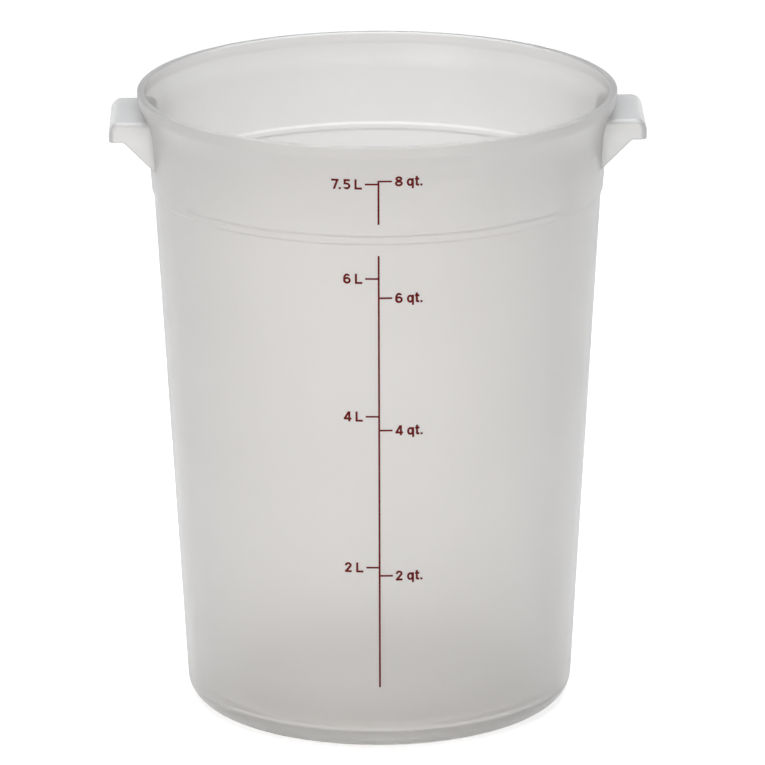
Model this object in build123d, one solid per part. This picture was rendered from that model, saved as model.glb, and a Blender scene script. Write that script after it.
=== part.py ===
from build123d import *
import math
import os

# Dough proofing container: a round tapered tub with two ear handles and a printed scale.
# Millimetres, +Z up, with the origin on the resting plane under the middle of the tub.
# The handles point along +X and -X, and the printed scale faces -Y.

# Tub wall
tub_height = 290.5
base_radius = 89.1
base_corner = 10.2
body_draft_share = 0.056
wall = 2.2

# Floor and foot ring
floor_rise = 5.2
floor_thickness = 2.6
floor_corner = 8.0
foot_land = 5.0
foot_slope = 2.0
foot_round = 0.8
gate_radius = 7.0
gate_depth = 0.6
gate_round = 0.4

# Upper band, above the stacking ledge
band_height = 45.9
ledge_drop = 0.7
ledge_step = 0.9
ledge_round = 1.0
inner_ledge_lift = 3.4
band_draft_share = 0.07

# Rim
rim_overhang = 4.07
rim_face = 5.2
rim_edge_round = 0.9
rim_foot_round = 4.0
rim_under_height = 8.2
rim_under_round = 24.0
rim_thickness = 3.5
mouth_round = 1.0

# Ear handles
handle_width = 50.0
handle_reach = 12.6
handle_drop = 9.8
handle_wall = 2.2
handle_nose = 5.3
handle_side_round = 3.0
lip_height = 9.5
lip_underside = 6.8
web_angle = 45.0
web_round = 2.0

# Printed scale
ink = 0.1
scale_aside = 0.9
line_width = 0.85
line_foot = 31.5
band_line_gap = 9.1
body_line_gap = 5.1
tick_length = 5.6
tick_width = 0.8
litre_mark_drop = 4.5
quart_mark_drop = 3.1

# Figures of the scale
cap_height = 4.8
figure_width = 3.4
stroke = 0.95
tick_gap = 1.3
word_gap = 1.85
letter_gap = 0.45

# Room beyond a solid for whatever cuts or crosses it, and how close a chosen edge lies
overrun = 20.0
near = 0.01

# Heights of the marks: on the body as shares of the ledge's height, on the band as how far
# they lie below the top of its straight wall
body_mark_shares = {
    "6 L": 0.9348,
    "6 qt.": 0.8975,
    "4 L": 0.6667,
    "4 qt.": 0.6396,
    "2 L": 0.3686,
    "2 qt.": 0.3522,
}
band_mark_drops = {"7.5 L": litre_mark_drop, "8 qt.": quart_mark_drop}

# Figures in shares of a figure's width and of the capital height: the width, the step to the
# next sign, the lowest point, the straight strokes as two ends each, and the rings as middle
# and size with the boxes cut out of each.
figure_shares = {
    "2": {
        "width": 0.9,
        "step": 0.95,
        "foot": 0.0,
        "bars": [(0.0, 0.099, 1.0, 0.099), (0.19, 0.12, 0.76, 0.57)],
        "rings": [(0.5, 0.7, 1.0, 0.6, [(-0.1, 0.3, 0.5, 0.67), (0.5, 0.3, 1.1, 0.55)])],
    },
    "4": {
        "width": 1.0,
        "step": 1.0,
        "foot": 0.0,
        "bars": [(0.72, 0.0, 0.72, 1.0), (0.0, 0.28, 1.0, 0.28), (0.1, 0.26, 0.68, 0.98)],
        "rings": [],
    },
    "5": {
        "width": 0.97,
        "step": 0.97,
        "foot": 0.0,
        "bars": [(0.1, 0.901, 0.94, 0.901), (0.24, 0.5, 0.24, 1.0)],
        "rings": [(0.5, 0.33, 1.0, 0.66, [(-0.1, 0.2, 0.36, 0.48)])],
    },
    "6": {
        "width": 1.0,
        "step": 1.0,
        "foot": 0.0,
        "bars": [],
        "rings": [(0.5, 0.33, 1.0, 0.66, []), (0.5, 0.5, 1.0, 1.0, [(0.5, -0.1, 1.1, 0.77)])],
    },
    "7": {
        "width": 0.97,
        "step": 0.84,
        "foot": 0.0,
        "bars": [(0.0, 0.901, 1.0, 0.901), (0.84, 0.93, 0.34, -0.05)],
        "rings": [],
    },
    "8": {
        "width": 1.03,
        "step": 1.0,
        "foot": 0.0,
        "bars": [],
        "rings": [(0.5, 0.74, 0.88, 0.52, []), (0.5, 0.29, 1.0, 0.58, [])],
    },
    ".": {
        "width": 0.29,
        "step": 0.42,
        "foot": 0.0,
        "bars": [(0.0, 0.099, 1.0, 0.099)],
        "rings": [],
    },
    "L": {
        "width": 0.97,
        "step": 0.97,
        "foot": 0.0,
        "bars": [(0.145, 0.0, 0.145, 1.0), (0.0, 0.099, 1.0, 0.099)],
        "rings": [],
    },
    "q": {
        "width": 0.94,
        "step": 0.94,
        "foot": -0.23,
        "bars": [(0.85, -0.23, 0.85, 0.77)],
        "rings": [(0.47, 0.39, 0.94, 0.78, [])],
    },
    "t": {
        "width": 0.57,
        "step": 0.57,
        "foot": 0.0,
        "bars": [(0.43, 0.06, 0.43, 0.98), (0.0, 0.69, 1.0, 0.69), (0.43, 0.099, 1.0, 0.099)],
        "rings": [],
    },
}

# Heights that several pieces share
floor_top = floor_rise + floor_thickness
ledge_top = tub_height - band_height
ledge_foot = ledge_top - ledge_drop
rim_foot = tub_height - rim_face
band_top = rim_foot - rim_under_height
handle_top = tub_height - handle_drop


def body_radius(height):
    return base_radius + body_draft_share * height


def band_radius(height):
    return body_radius(ledge_foot) + ledge_step + band_draft_share * (height - ledge_top)


rim_radius = band_radius(band_top) + rim_overhang


def side_view(corners):
    # A corner is its radius from the axis, its height and its rounding.
    points = [(radius, height) for radius, height, rounding in corners]
    roundings = [rounding for radius, height, rounding in corners]
    return make_face(FilletPolyline(points, radius=roundings, close=True))


def turned(face):
    return revolve(Plane.XZ * face, axis=Axis.Z)


def box_between(x1, y1, x2, y2):
    return Pos((x1 + x2) / 2, (y1 + y2) / 2) * Rectangle(x2 - x1, y2 - y1)


def foot_corners():
    # The round gate mark in the middle, the floor's underside and the ring that it stands on.
    foot_inside = base_radius - base_corner - foot_land
    return [
        (0, floor_rise - gate_depth, 0),
        (gate_radius, floor_rise - gate_depth, gate_round),
        (gate_radius, floor_rise, 0),
        (foot_inside - foot_slope, floor_rise, foot_round),
        (foot_inside, 0, foot_round),
    ]


def outer_corners():
    return [
        (base_radius, 0, base_corner),
        (body_radius(ledge_foot), ledge_foot, ledge_round),
        (band_radius(ledge_top), ledge_top, ledge_round),
        (band_radius(band_top), band_top, rim_under_round),
        (rim_radius, rim_foot, rim_foot_round),
        (rim_radius, tub_height, rim_edge_round),
    ]


def inner_corners():
    step_top = ledge_top + inner_ledge_lift
    step_foot = ledge_foot + inner_ledge_lift
    return [
        (rim_radius - rim_thickness, tub_height, mouth_round),
        (rim_radius - rim_thickness, rim_foot, rim_foot_round),
        (band_radius(band_top) - wall, band_top, rim_under_round),
        (band_radius(step_top) - wall, step_top, ledge_round),
        (body_radius(step_foot) - wall, step_foot, ledge_round),
        (body_radius(floor_top) - wall, floor_top, floor_corner),
        (0, floor_top, 0),
    ]


def make_tub():
    return turned(side_view(foot_corners() + outer_corners() + inner_corners()))


def filled_view():
    # The tub filled in, which trims the handles to the wall's outer face and carries the print.
    return side_view([(0, 0, 0)] + outer_corners() + [(0, tub_height, 0)])


def make_ink_skin():
    # The thin layer just outside the wall that the print lies in.
    layer = offset(filled_view(), amount=ink) - filled_view()
    return turned(layer & box_between(base_radius / 2, base_corner, rim_radius + ink, rim_foot))


def handle_shell():
    # The side view of the ear: plate, rounded nose, hanging lip and sloped web.
    tip = rim_radius + handle_reach
    lip_foot = handle_top - lip_height
    web_start = tip - lip_underside
    root = body_radius(ledge_foot) - overrun
    web_foot = lip_foot - (web_start - root) * math.tan(math.radians(web_angle))
    points = [(root, handle_top), (tip, handle_top), (tip, lip_foot), (web_start, lip_foot), (root, web_foot)]
    side = FilletPolyline(points, radius=[0, handle_nose, 0, web_round, 0], close=True)
    block = extrude(Plane.XZ * make_face(side), amount=handle_width / 2, both=True)
    rounded = [
        edge
        for edge in block.edges()
        if abs(edge.center().Y) > handle_width / 2 - near
        and edge.center().Z > lip_foot + near
        and edge.center().X > root + near
    ]
    return fillet(rounded, handle_side_round)


def handle_hollow():
    # The finger space under the plate, open below and closed by the lip and the two webs.
    tip = rim_radius + handle_reach - handle_wall
    top = handle_top - handle_wall
    root = body_radius(ledge_foot) - 2 * overrun
    foot = ledge_foot - overrun
    points = [(root, top), (tip, top), (tip, foot), (root, foot)]
    side = FilletPolyline(points, radius=[0, handle_nose - handle_wall, 0, 0], close=True)
    return extrude(Plane.XZ * make_face(side), amount=handle_width / 2 - handle_wall, both=True)


def make_handle(envelope):
    return handle_shell() - handle_hollow() - envelope


def bar(x1, y1, x2, y2):
    length = math.hypot(x2 - x1, y2 - y1)
    turn = math.degrees(math.atan2(y2 - y1, x2 - x1))
    return Pos((x1 + x2) / 2, (y1 + y2) / 2) * Rot(0, 0, turn) * Rectangle(length, stroke)


def ring(x, y, width, height):
    outer = Ellipse(width / 2, height / 2)
    inner = Ellipse(width / 2 - stroke, height / 2 - stroke)
    return Pos(x, y) * (outer - inner)


def figure(sign):
    # One figure or letter on its baseline, with its left side at zero.
    shares = figure_shares[sign]
    wide = figure_width * shares["width"]
    face = Sketch()
    for x, y, across, up, gaps in shares["rings"]:
        band = ring(x * wide, y * cap_height, across * wide, up * cap_height)
        for x1, y1, x2, y2 in gaps:
            band -= box_between(x1 * wide, y1 * cap_height, x2 * wide, y2 * cap_height)
        face += band
    for x1, y1, x2, y2 in shares["bars"]:
        face += bar(x1 * wide, y1 * cap_height, x2 * wide, y2 * cap_height)
    return face & box_between(0, shares["foot"] * cap_height, wide, cap_height)


def figure_starts(text):
    # The left side of each sign of a label that starts at zero, and the label's length.
    starts = []
    at = 0
    for sign in text:
        if sign == " ":
            at += word_gap - letter_gap
            continue
        starts.append((sign, at))
        at += figure_width * figure_shares[sign]["step"] + letter_gap
    return starts, at - letter_gap


def printed(face, skin):
    # A flat face of the front view, laid on the wall.
    return (extrude(Plane.XZ * face, amount=rim_radius) & skin).solids()


def mark_height(text):
    if text in band_mark_drops:
        return band_top - band_mark_drops[text]
    return body_mark_shares[text] * ledge_foot


def is_litre(text):
    return text.endswith("L")


def make_scale_line(marks, top, foot, skin):
    # The upright line with a tick for each mark, litres to the left and quarts to the right.
    face = box_between(-line_width / 2, foot, line_width / 2, top)
    for text in marks:
        height = mark_height(text)
        end = -line_width / 2 - tick_length if is_litre(text) else line_width / 2 + tick_length
        face += box_between(min(0, end), height - tick_width / 2, max(0, end), height + tick_width / 2)
    return printed(Pos(-scale_aside, 0) * face, skin)


def make_figures(text, skin):
    starts, length = figure_starts(text)
    start = line_width / 2 + tick_length + tick_gap
    if is_litre(text):
        start = -start - length
    baseline = mark_height(text) - cap_height / 2
    solids = []
    for sign, at in starts:
        solids += printed(Pos(start + at - scale_aside, baseline) * figure(sign), skin)
    return solids


def node_name(text):
    number, unit = text.split(" ")
    return f"figures_{number.replace('.', '_')}_{'litres' if unit == 'L' else 'quarts'}"


def save(name, solids):
    shape = Compound(list(solids))
    shape.label = name
    export_step(shape, f"parts/{name}.step")
    print(name, len(shape.solids()), "solids", round(shape.volume), "mm3")


os.makedirs("parts", exist_ok=True)
save("tub", make_tub().solids())

right_handle = make_handle(turned(filled_view()))
save("right_handle", right_handle.solids())
save("left_handle", mirror(right_handle, about=Plane.YZ).solids())

ink_skin = make_ink_skin()
band_line_top = band_top - min(band_mark_drops.values()) + tick_width / 2
band_line_foot = ledge_top + band_line_gap
body_line_top = ledge_foot - body_line_gap
save("upper_scale_line", make_scale_line(band_mark_drops, band_line_top, band_line_foot, ink_skin))
save("lower_scale_line", make_scale_line(body_mark_shares, body_line_top, line_foot, ink_skin))
for label in list(band_mark_drops) + list(body_mark_shares):
    save(node_name(label), make_figures(label, ink_skin))
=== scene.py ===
import math

import bmesh
import bpy
from mathutils import Matrix, Vector


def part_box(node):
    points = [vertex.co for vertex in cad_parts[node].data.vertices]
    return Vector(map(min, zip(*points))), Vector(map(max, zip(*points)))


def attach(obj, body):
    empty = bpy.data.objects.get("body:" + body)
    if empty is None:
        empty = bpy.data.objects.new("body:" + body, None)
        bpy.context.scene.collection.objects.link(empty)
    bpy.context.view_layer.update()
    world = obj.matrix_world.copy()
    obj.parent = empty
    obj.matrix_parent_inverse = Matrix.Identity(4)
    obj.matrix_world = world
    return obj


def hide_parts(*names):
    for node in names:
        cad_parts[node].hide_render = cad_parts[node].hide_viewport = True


# Dough proofing container, in metres, +Z up, standing on the floor at Z zero.
# The handles point along +X and -X, and the printed scale faces -Y.

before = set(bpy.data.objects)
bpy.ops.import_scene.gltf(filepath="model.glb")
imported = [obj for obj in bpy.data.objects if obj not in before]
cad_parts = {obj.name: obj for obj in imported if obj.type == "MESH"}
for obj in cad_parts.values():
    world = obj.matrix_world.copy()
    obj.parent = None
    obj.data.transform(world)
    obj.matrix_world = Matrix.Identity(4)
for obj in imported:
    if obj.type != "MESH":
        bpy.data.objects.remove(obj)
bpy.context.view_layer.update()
print("frame loaded:", len(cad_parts), "nodes")


# Camera, matched to the photograph
cameraSettings = {
    "sensorMm": 36.0,
    "lensMm": 317.65,
    "distance": 3.0,
    "height": 1.0475,
    "pitchDeg": 16.668,
    "panDeg": -0.037,
    "rollDeg": 0.220,
    "orbitDeg": -0.7,  # round the object, which shows it turned a little to the right
}


def makeCamera(settings):
    pitch = math.radians(settings["pitchDeg"])
    pan = math.radians(settings["panDeg"])
    roll = math.radians(settings["rollDeg"])
    level = Vector((math.cos(pan), math.sin(pan), 0))
    ahead = Vector((-math.sin(pan), math.cos(pan), 0))
    forward = ahead * math.cos(pitch) - Vector((0, 0, math.sin(pitch)))
    upright = ahead * math.sin(pitch) + Vector((0, 0, math.cos(pitch)))
    right = level * math.cos(roll) - upright * math.sin(roll)
    up = level * math.sin(roll) + upright * math.cos(roll)
    place = Matrix((right, up, -forward)).transposed().to_4x4()
    place.translation = Vector((0, -settings["distance"], settings["height"]))
    data = bpy.data.cameras.new("photoCamera")
    data.sensor_width = settings["sensorMm"]
    data.lens = settings["lensMm"]
    camera = bpy.data.objects.new("photoCamera", data)
    bpy.context.scene.collection.objects.link(camera)
    camera.matrix_world = Matrix.Rotation(math.radians(settings["orbitDeg"]), 4, "Z") @ place
    bpy.context.scene.camera = camera


makeCamera(cameraSettings)
print("camera ready")


# Edit mode helpers
editSettings = {
    "samePlace": 0.00002,  # two lengths that differ by less count as one
    "mergeGap": 0.000002,  # vertices nearer than this are merged
    "flatLead": 50,  # how far the large faces lead the normals
}
sharp = (0, 0)  # a corner's rounding and its segments, where it has none


def deselectAll():
    if bpy.context.mode != "OBJECT":
        bpy.ops.object.mode_set(mode="OBJECT")
    bpy.ops.object.select_all(action="DESELECT")


def selectOnly(piece):
    deselectAll()
    piece.select_set(True)
    bpy.context.view_layer.objects.active = piece


def openForEditing(piece):
    selectOnly(piece)
    bpy.ops.object.mode_set(mode="EDIT")


def pickOnly(piece, kind, test):
    # Selects the vertices, edges or faces that pass the test, and nothing else.
    bpy.ops.mesh.select_mode(type=kind)
    bpy.ops.mesh.select_all(action="DESELECT")
    shape = bmesh.from_edit_mesh(piece.data)
    for part in {"VERT": shape.verts, "EDGE": shape.edges, "FACE": shape.faces}[kind]:
        if test(part):
            part.select_set(True)
    shape.select_flush_mode()
    bmesh.update_edit_mesh(piece.data)


def close(a, b):
    return abs(a - b) < editSettings["samePlace"]


def applyModifier(piece, kind, **values):
    selectOnly(piece)
    modifier = piece.modifiers.new(kind.lower(), kind)
    for name, value in values.items():
        setattr(modifier, name, value)
    bpy.ops.object.modifier_apply(modifier=modifier.name)


def turnProfile(name, corners, steps):
    # Extrudes a line from corner to corner, rounds each corner and spins it about the axis.
    # A corner is its radius, its height, its rounding and the rounding's segments.
    deselectAll()
    startRadius, startHeight = corners[0][:2]
    # The plane is merged into one point, so any small size does
    bpy.ops.mesh.primitive_plane_add(size=startHeight, location=(startRadius, 0, startHeight))
    piece = bpy.context.active_object
    piece.name = piece.data.name = name
    bpy.ops.object.transform_apply(location=True, rotation=True, scale=True)
    bpy.ops.object.mode_set(mode="EDIT")
    bpy.ops.mesh.select_all(action="SELECT")
    bpy.ops.mesh.merge(type="CENTER")
    for before, here in zip(corners, corners[1:]):
        bpy.ops.mesh.extrude_vertices_move(
            TRANSFORM_OT_translate={"value": (here[0] - before[0], 0, here[1] - before[1])}
        )
    for before, here, after in zip(corners, corners[1:], corners[2:]):
        radius, height, rounding, segments = here
        if rounding == 0:
            continue
        coming = Vector((radius - before[0], height - before[1]))
        going = Vector((after[0] - radius, after[1] - height))
        reach = rounding * math.tan(coming.angle(going) / 2)
        pickOnly(piece, "VERT", lambda v: close(v.co.x, radius) and close(v.co.z, height))
        bpy.ops.mesh.bevel(offset=reach, segments=segments, affect="VERTICES", clamp_overlap=False)
    bpy.ops.mesh.select_mode(type="VERT")
    bpy.ops.mesh.select_all(action="SELECT")
    bpy.ops.mesh.spin(steps=steps, angle=math.tau, center=(0, 0, 0), axis=(0, 0, 1))
    bpy.ops.mesh.select_all(action="SELECT")
    bpy.ops.mesh.remove_doubles(threshold=editSettings["mergeGap"])
    bpy.ops.mesh.normals_make_consistent(inside=False)
    bpy.ops.object.mode_set(mode="OBJECT")
    return piece


def smoothPiece(piece, angleDeg):
    # Smooth but for the sharp edges, with the large faces leading, so that flats stay flat.
    selectOnly(piece)
    bpy.ops.object.shade_smooth_by_angle(angle=math.radians(angleDeg))
    applyModifier(piece, "WEIGHTED_NORMAL", weight=editSettings["flatLead"], keep_sharp=True)


# Tub: one wall from the gate mark under the floor, up the outside, over the rim and down inside.
# What ends in Round, here and below, is a radius and its segments.
tubSettings = {
    "baseRadius": 0.0891,
    "baseRound": (0.0102, 14),
    "draftShare": 0.056,
    "wall": 0.0022,
    "floorRise": 0.0052,
    "floorThickness": 0.0026,
    "floorRound": (0.008, 12),
    "footLand": 0.005,
    "footSlope": 0.002,
    "footRound": (0.0008, 4),
    "gateRadius": 0.007,
    "gateDepth": 0.0006,
    "gateRound": (0.0004, 4),
    "bandHeight": 0.0459,
    "bandDraftShare": 0.07,
    "ledgeDrop": 0.0007,
    "ledgeStep": 0.0009,
    "ledgeRound": (0.001, 5),
    "innerLedgeLift": 0.0034,
    "rimFace": 0.0052,
    "rimRound": (0.0009, 6),
    "rimFootRound": (0.004, 7),
    "innerRimFootRound": (0.004, 6),
    "rimUnder": 0.0082,
    "rimUnderRound": (0.024, 10),
    "innerRimUnderRound": (0.024, 8),
    "rimThickness": 0.0035,
    "mouthRound": (0.001, 6),
    "turnSteps": 192,
    "smoothDeg": 40,
}


def ledgeHeight(s):
    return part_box("tub")[1].z - s["bandHeight"]


def bodyRadius(s, height):
    return s["baseRadius"] + s["draftShare"] * height


def bandRadius(s, height):
    ledgeTop = ledgeHeight(s)
    start = bodyRadius(s, ledgeTop - s["ledgeDrop"]) + s["ledgeStep"]
    return start + s["bandDraftShare"] * (height - ledgeTop)


def outerCorners(s, sink=0.0):
    # The outside of the wall from the base to the rim, or that much inside it.
    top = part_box("tub")[1].z
    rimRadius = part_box("tub")[1].x
    ledgeTop = ledgeHeight(s)
    ledgeFoot = ledgeTop - s["ledgeDrop"]
    rimFoot = top - s["rimFace"]
    bandTop = rimFoot - s["rimUnder"]
    return [
        (s["baseRadius"] - sink, 0, *s["baseRound"]),
        (bodyRadius(s, ledgeFoot) - sink, ledgeFoot, *s["ledgeRound"]),
        (bandRadius(s, ledgeTop) - sink, ledgeTop, *s["ledgeRound"]),
        (bandRadius(s, bandTop) - sink, bandTop, *s["rimUnderRound"]),
        (rimRadius - sink, rimFoot, *s["rimFootRound"]),
        (rimRadius - sink, top, *s["rimRound"]),
    ]


def makeTub(s):
    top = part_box("tub")[1].z
    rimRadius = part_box("tub")[1].x
    floorTop = s["floorRise"] + s["floorThickness"]
    gateTop = s["floorRise"] - s["gateDepth"]
    baseRound = s["baseRound"][0]
    footInside = s["baseRadius"] - baseRound - s["footLand"]
    stepTop = ledgeHeight(s) + s["innerLedgeLift"]
    stepFoot = stepTop - s["ledgeDrop"]
    bandTop = top - s["rimFace"] - s["rimUnder"]
    foot = [
        (0, gateTop, *sharp),
        (s["gateRadius"], gateTop, *s["gateRound"]),
        (s["gateRadius"], s["floorRise"], *sharp),
        (footInside - s["footSlope"], s["floorRise"], *s["footRound"]),
        (footInside, 0, *s["footRound"]),
    ]
    inside = [
        (rimRadius - s["rimThickness"], top, *s["mouthRound"]),
        (rimRadius - s["rimThickness"], top - s["rimFace"], *s["innerRimFootRound"]),
        (bandRadius(s, bandTop) - s["wall"], bandTop, *s["innerRimUnderRound"]),
        (bandRadius(s, stepTop) - s["wall"], stepTop, *s["ledgeRound"]),
        (bodyRadius(s, stepFoot) - s["wall"], stepFoot, *s["ledgeRound"]),
        (bodyRadius(s, floorTop) - s["wall"], floorTop, *s["floorRound"]),
        (0, floorTop, *sharp),
    ]
    tub = turnProfile("translucentTub", foot + outerCorners(s) + inside, s["turnSteps"])
    smoothPiece(tub, s["smoothDeg"])
    return tub


tub = makeTub(tubSettings)
print("tub:", len(tub.data.polygons), "faces")


# Ear handles: a plate with a rounded nose, a hanging lip and two sloped webs, hollow below.
# A normal's share is how much of it lies along one axis.
earSettings = {
    "wall": 0.0022,
    "rootRadius": 0.094,  # well inside the tub, where the cut takes it away
    "rootSink": 0.0004,  # how far the ear runs into the tub's wall
    "coreDrop": 0.0053,  # how far the piece that cuts it reaches below it
    "lipHeight": 0.0095,
    "lipUnderside": 0.0068,
    "webDeg": 45,
    "webRound": (0.002, 5),
    "noseRound": (0.0053, 10),
    "sideRound": (0.003, 7),
    "edgeRound": (0.00045, 3),
    "edgeDeg": 50,  # edges sharper than this get the small rounding
    "slopingShare": 0.5,  # a larger share of the normal: the face slopes that way
    "squareShare": 0.9,  # a larger share: the face looks that way squarely
    "levelShare": 0.1,  # a smaller share: the face doesn't look that way
    "smoothDeg": 35,
}


def makeEar(s, tubSizes):
    low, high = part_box("right_handle")
    tip, top, half = high.x, high.z, high.y
    root = s["rootRadius"]
    lipFoot = top - s["lipHeight"]
    webStart = tip - s["lipUnderside"]
    webSlope = math.radians(s["webDeg"])
    webDrop = (webStart - root) * math.tan(webSlope)
    deselectAll()
    bpy.ops.mesh.primitive_cube_add(
        size=1,
        location=((root + tip) / 2, 0, (lipFoot + top) / 2),
        scale=(tip - root, 2 * half, top - lipFoot),
    )
    ear = bpy.context.active_object
    ear.name = ear.data.name = "rightEar"
    bpy.ops.object.transform_apply(location=True, rotation=True, scale=True)
    openForEditing(ear)

    # The slope of the webs, and the underside and the root left open
    bpy.ops.mesh.select_all(action="SELECT")
    bpy.ops.mesh.bisect(plane_co=(webStart, 0, 0), plane_no=(1, 0, 0))
    pickOnly(ear, "VERT", lambda v: close(v.co.x, root) and close(v.co.z, lipFoot))
    bpy.ops.transform.translate(value=(0, 0, -webDrop))
    pickOnly(
        ear,
        "FACE",
        lambda f: f.normal.z < -s["slopingShare"] or f.normal.x < -s["squareShare"],
    )
    bpy.ops.mesh.delete(type="FACE")
    pickOnly(ear, "EDGE", lambda e: all(close(v.co.x, webStart) for v in e.verts))
    bpy.ops.mesh.dissolve_edges(use_verts=False)

    # The nose, the long side edges and the inside corners of the webs
    def isSideEdge(edge):
        shares = [abs(face.normal.y) for face in edge.link_faces]
        return len(shares) == 2 and max(shares) > s["squareShare"] and min(shares) < s["levelShare"]

    noseRound, noseSegments = s["noseRound"]
    pickOnly(ear, "EDGE", lambda e: all(close(v.co.x, tip) and close(v.co.z, top) for v in e.verts))
    bpy.ops.mesh.bevel(offset=noseRound, segments=noseSegments)
    sideRound, sideSegments = s["sideRound"]
    pickOnly(ear, "EDGE", isSideEdge)
    bpy.ops.mesh.bevel(offset=sideRound, segments=sideSegments)
    webRound, webSegments = s["webRound"]
    pickOnly(ear, "VERT", lambda v: close(v.co.x, webStart) and close(v.co.z, lipFoot))
    bpy.ops.mesh.bevel(
        offset=webRound * math.tan(webSlope / 2),
        segments=webSegments,
        affect="VERTICES",
    )
    bpy.ops.object.mode_set(mode="OBJECT")

    # The wall, its small edge roundings and the cut to the tub
    applyModifier(ear, "SOLIDIFY", thickness=s["wall"], offset=-1, use_even_offset=True)
    edgeRound, edgeSegments = s["edgeRound"]
    applyModifier(
        ear,
        "BEVEL",
        width=edgeRound,
        segments=edgeSegments,
        limit_method="ANGLE",
        angle_limit=math.radians(s["edgeDeg"]),
    )
    coreFoot = low.z - s["coreDrop"]
    corners = [
        (0, coreFoot, *sharp),
        (bodyRadius(tubSizes, coreFoot) - s["rootSink"], coreFoot, *sharp),
        *outerCorners(tubSizes, s["rootSink"])[1:],
        (0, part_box("tub")[1].z, *sharp),
    ]
    core = turnProfile("wallCutter", corners, tubSizes["turnSteps"])
    applyModifier(ear, "BOOLEAN", operation="DIFFERENCE", solver="EXACT", object=core)
    bpy.data.objects.remove(core)
    return ear


def mirrorEar(ear):
    selectOnly(ear)
    bpy.ops.object.duplicate()
    other = bpy.context.active_object
    other.name = other.data.name = "leftEar"
    openForEditing(other)
    bpy.ops.mesh.select_all(action="SELECT")
    bpy.ops.transform.resize(value=(-1, 1, 1), center_override=(0, 0, 0))
    bpy.ops.mesh.flip_normals()
    bpy.ops.object.mode_set(mode="OBJECT")
    return other


rightEar = makeEar(earSettings, tubSettings)
leftEar = mirrorEar(rightEar)
for ear in (rightEar, leftEar):
    smoothPiece(ear, earSettings["smoothDeg"])
    print(ear.name + ":", len(ear.data.polygons), "faces")


# Shader helpers
def setInputs(tree, node, inputs):
    # Each input gets a value, or a link from the socket that feeds it.
    for name, given in inputs.items():
        if isinstance(given, bpy.types.NodeSocket):
            tree.links.new(given, node.inputs[name])
        else:
            node.inputs[name].default_value = given


def addNode(tree, kind, inputs, **choices):
    # The choices come first, because they decide which inputs a node shows.
    node = tree.nodes.new(kind)
    for name, choice in choices.items():
        setattr(node, name, choice)
    setInputs(tree, node, inputs)
    return node


def spread(tree, source, fromRange, toRange=(0.0, 1.0), **choices):
    # What lies in one range, spread over the other and held at its ends.
    inputs = {
        "Value": source,
        "From Min": fromRange[0],
        "From Max": fromRange[1],
        "To Min": toRange[0],
        "To Max": toRange[1],
    }
    return addNode(tree, "ShaderNodeMapRange", inputs, **choices).outputs[0]


def mixColors(tree, factor, first, second):
    inputs = {"Factor": factor, "A": first, "B": second}
    return addNode(tree, "ShaderNodeMix", inputs, data_type="RGBA").outputs["Result"]


def calculate(tree, operation, first, second):
    return addNode(tree, "ShaderNodeMath", {0: first, 1: second}, operation=operation).outputs[0]


# Surface group: how a moulded or printed surface varies, in the piece's own coordinates
surfaceSettings = {
    "cloudScale": 14.0,  # soft clouds of slightly different whiteness
    "cloudDetail": 3.0,
    "streakScale": 70.0,  # faint streaks, from the flow and the release of the moulding
    "streakStretch": 0.05,  # what Z is multiplied by, so that they run up the wall
    "streakDetail": 4.0,
    "grainScale": 1500.0,  # fine grain of the mould's surface
    "grainDetail": 2.0,
    "middle": (0.3, 0.7),  # the values between which most of a pattern lies
}


def makeSurfaceGroup(s):
    group = bpy.data.node_groups.new("mouldedSurface", "ShaderNodeTree")
    for name in ("cloudScale", "streakScale", "streakStretch", "grainScale"):
        socket = group.interface.new_socket(name=name, in_out="INPUT", socket_type="NodeSocketFloat")
        socket.default_value = s[name]
    for name in ("cloud", "streak", "grain"):
        group.interface.new_socket(name=name, in_out="OUTPUT", socket_type="NodeSocketFloat")
    given = group.nodes.new("NodeGroupInput")
    result = group.nodes.new("NodeGroupOutput")
    place = group.nodes.new("ShaderNodeTexCoord").outputs["Object"]
    stretch = addNode(
        group,
        "ShaderNodeCombineXYZ",
        {"X": 1.0, "Y": 1.0, "Z": given.outputs["streakStretch"]},
    )
    stretched = addNode(
        group,
        "ShaderNodeVectorMath",
        {0: place, 1: stretch.outputs[0]},
        operation="MULTIPLY",
    )
    for name, vector in {"cloud": place, "streak": stretched.outputs[0], "grain": place}.items():
        inputs = {
            "Vector": vector,
            "Scale": given.outputs[name + "Scale"],
            "Detail": s[name + "Detail"],
        }
        pattern = addNode(group, "ShaderNodeTexNoise", inputs)
        group.links.new(pattern.outputs["Fac"], result.inputs[name])
    return group


surfaceGroup = makeSurfaceGroup(surfaceSettings)


def startMaterial(name):
    material = bpy.data.materials.new(name)
    material.use_nodes = True
    tree = material.node_tree
    surface = addNode(tree, "ShaderNodeGroup", {}, node_tree=surfaceGroup)
    return material, tree, tree.nodes["Principled BSDF"], surface


def addFinish(tree, shader, surface, pattern, s):
    # Roughness that follows one of the patterns, and the fine grain as a bump.
    inputs = {
        "Strength": s["grainStrength"],
        "Distance": s["grainDepth"],
        "Height": surface.outputs["grain"],
    }
    bump = addNode(tree, "ShaderNodeBump", inputs)
    rough = spread(tree, surface.outputs[pattern], surfaceSettings["middle"], s["roughness"])
    setInputs(tree, shader, {"Roughness": rough, "Normal": bump.outputs["Normal"]})


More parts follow.
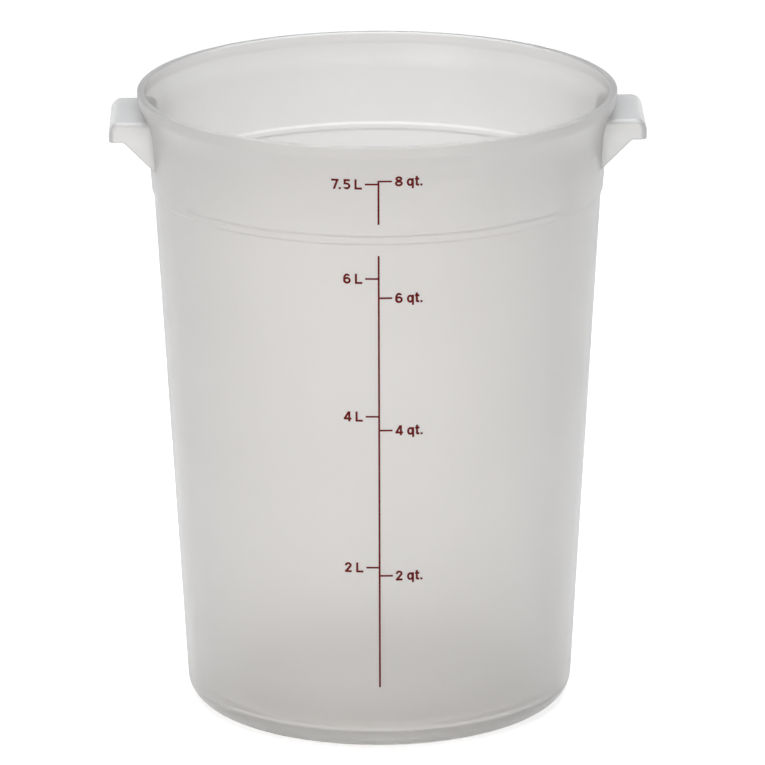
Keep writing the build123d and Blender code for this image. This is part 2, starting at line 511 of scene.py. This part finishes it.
# Milky plastic of the tub, and a copy for the ears with less transmission, a coat, and darker
# colours that are painted shade
plasticSettings = {
    "clearColor": (0.882, 0.866, 0.849, 1.0),
    "milkyColor": (0.862, 0.846, 0.829, 1.0),
    # painted shade: a darker colour round the base, where the floor and the base corner shade the
    # wall
    "baseShadeColor": (0.79, 0.772, 0.752, 1.0),
    "baseShadeRange": (0.008, 0.032),  # heights over which the painted shade round the base fades out
    # painted shade: a darker colour on the band under the rim
    "upperShadeColor": (0.785, 0.772, 0.76, 1.0),
    "upperShadeRange": (0.242, 0.2925),  # heights over which painted shade darkens the band towards the rim
    "roughness": (0.28, 0.34),
    "transmission": 0.75,
    "ior": 1.49,
    "coat": 0.0,
    "coatRoughness": 0.1,
    "grainStrength": 0.25,
    "grainDepth": 0.00002,
}
# painted shade: the ears' colours are darker than the tub's, though it is one plastic
shadedEarPlasticSettings = dict(
    plasticSettings,
    clearColor=(0.84, 0.835, 0.825, 1.0),
    milkyColor=(0.82, 0.815, 0.805, 1.0),
    upperShadeColor=(0.78, 0.772, 0.762, 1.0),
    # painted shade: on the ears, these heights darken the top plate
    upperShadeRange=(0.272, 0.279),
    transmission=0.5,
    coat=0.6,
)


def makePlastic(name, s):
    material, tree, shader, surface = startMaterial(name)
    place = tree.nodes.new("ShaderNodeTexCoord").outputs["Object"]
    height = addNode(tree, "ShaderNodeSeparateXYZ", {0: place}).outputs["Z"]
    cloud = spread(tree, surface.outputs["cloud"], surfaceSettings["middle"])
    tint = mixColors(tree, cloud, s["clearColor"], s["milkyColor"])
    # painted shade: darker round the base
    body = mixColors(tree, spread(tree, height, s["baseShadeRange"]), s["baseShadeColor"], tint)
    # painted shade: darker towards the top, on the band under the rim and on the ears' top plate
    whole = mixColors(tree, spread(tree, height, s["upperShadeRange"]), body, s["upperShadeColor"])
    inputs = {
        "Base Color": whole,
        "Transmission Weight": s["transmission"],
        "IOR": s["ior"],
        "Coat Weight": s["coat"],
        "Coat Roughness": s["coatRoughness"],
    }
    setInputs(tree, shader, inputs)
    addFinish(tree, shader, surface, "streak", s)
    return material


# Printed ink of the scale
inkSettings = {
    "fullColor": (0.110, 0.008, 0.007, 1.0),
    "thinColor": (0.155, 0.013, 0.011, 1.0),
    "cloudScale": 220.0,
    "gloss": 0.06,
    "roughness": (0.45, 0.65),
    "grainStrength": 0.3,
    "grainDepth": 0.00002,
}


def makeInk(s):
    material, tree, shader, surface = startMaterial("scaleInk")
    surface.inputs["cloudScale"].default_value = s["cloudScale"]
    cloud = spread(tree, surface.outputs["cloud"], surfaceSettings["middle"])
    tint = mixColors(tree, cloud, s["fullColor"], s["thinColor"])
    setInputs(tree, shader, {"Base Color": tint, "Specular IOR Level": s["gloss"]})
    addFinish(tree, shader, surface, "grain", s)
    return material


plastic = makePlastic("milkyPlastic", plasticSettings)
earPlastic = makePlastic("milkyEarPlasticPaintedShade", shadedEarPlasticSettings)
scaleInk = makeInk(inkSettings)
mouldings = {"tub": tub, "right_handle": rightEar, "left_handle": leftEar}
for name, piece in mouldings.items():
    piece.data.materials.clear()
    piece.data.materials.append(plastic if piece == tub else earPlastic)
    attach(piece, "root")
    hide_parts(name)
for name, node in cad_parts.items():
    if name not in mouldings:
        node.data.materials.clear()
        node.data.materials.append(scaleInk)
print("materials ready")


# Floor, pale surroundings and soft lamps
roomSettings = {
    "worldLight": (0.39, 0.40, 0.415, 1.0),
    "sweepFade": (0.06, 0.34),  # sines of the angles up at which the white starts to fade and ends
    "white": (1.0, 1.0, 1.0, 1.0),
    "floorSize": 8.0,
    "floorColor": (0.80, 0.80, 0.80, 1.0),
    "floorRoughness": 0.9,
    "floorLift": 0.55,  # what the eye sees of the floor beyond its own light
}
lampSettings = {
    "key": {
        "place": (-0.75, -1.3, 0.55),
        "aim": (0, 0, 0.13),
        "size": 0.9,
        "watts": 6.3,
        "color": (1.0, 0.95, 0.90),
    },
    "fill": {
        "place": (0.5, -1.5, 0.45),
        "aim": (0, 0, 0.13),
        "size": 0.9,
        "watts": 3.5,
        "color": (1.0, 0.95, 0.90),
    },
    "top": {
        "place": (0.0, 0.0, 1.5),
        "aim": (0, 0, 0.15),
        "size": 1.3,
        "watts": 17.0,
        "color": (0.95, 0.98, 1.0),
    },
}


def sightMasks(tree):
    # Where the eye looks straight at something, and where gloss or clear plastic shows it.
    path = tree.nodes.new("ShaderNodeLightPath").outputs
    shown = calculate(tree, "MAXIMUM", path["Is Glossy Ray"], path["Is Transmission Ray"])
    return path["Is Camera Ray"], shown


def makeFloor(s):
    deselectAll()
    bpy.ops.mesh.primitive_plane_add(size=s["floorSize"])
    floor = bpy.context.active_object
    floor.name = floor.data.name = "floor"
    material = bpy.data.materials.new("paleFloor")
    material.use_nodes = True
    tree = material.node_tree
    straight, shown = sightMasks(tree)
    seen = calculate(tree, "MAXIMUM", straight, shown)
    inputs = {
        "Base Color": s["floorColor"],
        "Roughness": s["floorRoughness"],
        "Emission Color": s["white"],
        "Emission Strength": calculate(tree, "MULTIPLY", seen, s["floorLift"]),
    }
    setInputs(tree, tree.nodes["Principled BSDF"], inputs)
    floor.data.materials.append(material)


def makeWorld(s):
    # The eye sees white all round, and gloss and clear plastic see it up to the sweep's top.
    world = bpy.data.worlds.new("paleRoom")
    bpy.context.scene.world = world
    world.use_nodes = True
    tree = world.node_tree
    place = tree.nodes.new("ShaderNodeTexCoord").outputs["Generated"]
    height = addNode(tree, "ShaderNodeSeparateXYZ", {0: place}).outputs["Z"]
    sweep = spread(tree, height, s["sweepFade"], (1.0, 0.0), interpolation_type="SMOOTHSTEP")
    straight, shown = sightMasks(tree)
    white = calculate(tree, "MAXIMUM", straight, calculate(tree, "MULTIPLY", sweep, shown))
    color = mixColors(tree, white, s["worldLight"], s["white"])
    tree.links.new(color, tree.nodes["Background"].inputs["Color"])


def makeLamps(settings):
    for name, s in settings.items():
        data = bpy.data.lights.new(name + "Lamp", "AREA")
        data.shape = "SQUARE"
        data.size = s["size"]
        data.energy = s["watts"]
        data.color = s["color"]
        lamp = bpy.data.objects.new(name + "Lamp", data)
        bpy.context.scene.collection.objects.link(lamp)
        lamp.location = s["place"]
        sight = Vector(s["aim"]) - Vector(s["place"])
        lamp.rotation_euler = sight.to_track_quat("-Z", "Y").to_euler()


makeFloor(roomSettings)
makeWorld(roomSettings)
makeLamps(lampSettings)
print("room ready")

bpy.context.scene.view_settings.view_transform = "Standard"

bpy.context.view_layer.update()
